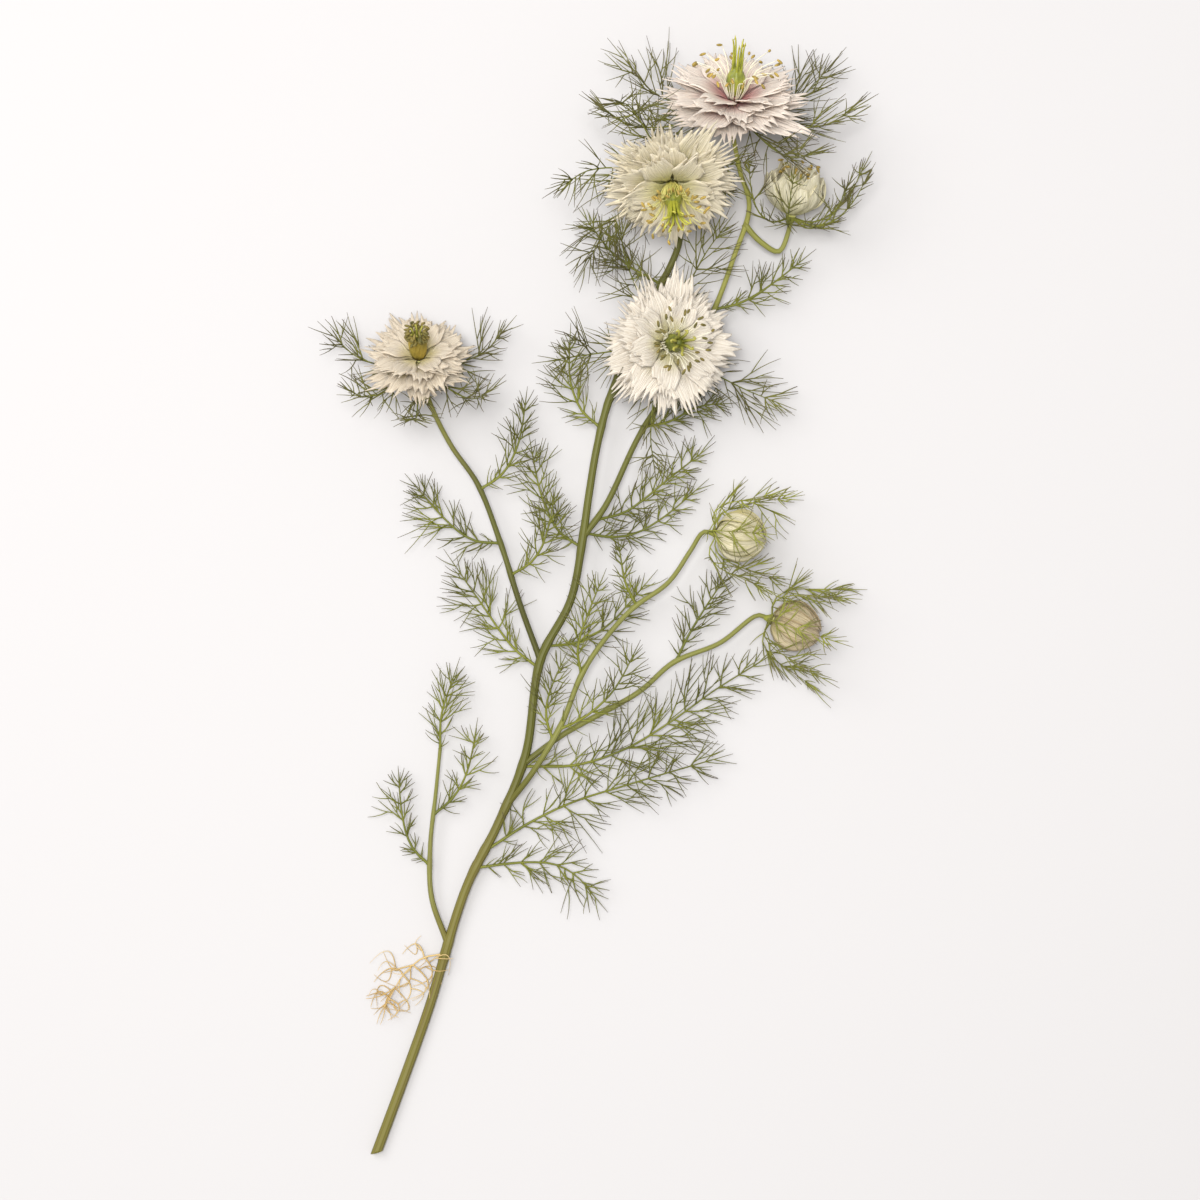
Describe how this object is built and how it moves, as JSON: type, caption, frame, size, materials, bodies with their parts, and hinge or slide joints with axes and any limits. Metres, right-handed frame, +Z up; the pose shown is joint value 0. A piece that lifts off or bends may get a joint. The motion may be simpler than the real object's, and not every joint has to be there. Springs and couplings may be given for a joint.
{
  "type": "love-in-a-mist flower stem",
  "caption": "Cut branched flowering stem with layered white blooms in a collar of thread-like bracts, round buds and thread-cut leaves, lying flat.",
  "frame": {"origin": "on the surface the stem lies on, under the middle of the whole stem's box", "axes": "+Y along the stem from its cut end to the blooms, +Z up from the surface, +X to the right seen from above"},
  "size_m": [0.1716, 0.3512, 0.0621],
  "materials": {
    "stem": "satin green stem, olive at its base",
    "petal": "matte ivory white, veined",
    "young_petal": "matte pale green-white",
    "stamen": "matte pale filaments, olive anthers",
    "pistil": "satin yellow-green",
    "bract": "matte grey-green",
    "bud": "satin pale cream-green",
    "leaf": "matte green",
    "dry_leaf": "matte dry beige"
  },
  "bodies": {
    "root": {"dry_threads": "dry_leaf", "frond_fan_right": "leaf", "frond_fork_left": "leaf", "frond_fork_right": "leaf", "frond_fork_upper_left": "leaf", "frond_fork_upper_right": "leaf", "frond_left_high": "leaf", "frond_left_inner": "leaf", "frond_left_outer": "leaf", "frond_low_drooping": "leaf", "frond_low_right": "leaf", "frond_lower_bud_stalk": "leaf", "frond_right_long": "leaf", "frond_shoot_high": "leaf", "frond_shoot_low": "leaf", "frond_side_shoot_low": "leaf", "frond_side_shoot_mid": "leaf", "frond_stalk_left": "leaf", "frond_stalk_right": "leaf", "frond_stalk_upper": "leaf", "frond_stem_high": "leaf", "frond_top_left": "leaf", "half_open_bloom_bracts": "bract", "half_open_bloom_petals": "young_petal", "half_open_bloom_pistil": "pistil", "half_open_bloom_stamens": "stamen", "lead_bloom_bracts": "bract", "lead_bloom_petals": "petal", "lead_bloom_pistil": "pistil", "lead_bloom_stamens": "stamen", "left_bloom_bracts": "bract", "left_bloom_petals": "petal", "left_bloom_pistil": "pistil", "left_bloom_stamens": "stamen", "lower_bud_bracts": "bract", "lower_bud_head": "bud", "nodding_bloom_bracts": "bract", "nodding_bloom_petals": "petal", "nodding_bloom_pistil": "pistil", "nodding_bloom_stamens": "stamen", "stem": "stem", "top_bloom_bracts": "bract", "top_bloom_petals": "petal", "top_bloom_pistil": "pistil", "top_bloom_stamens": "stamen", "tuft_side_shoot": "leaf", "tuft_upper_bud_stalk": "leaf", "upper_bud_bracts": "bract", "upper_bud_head": "bud"}
  },
  "joints": []
}
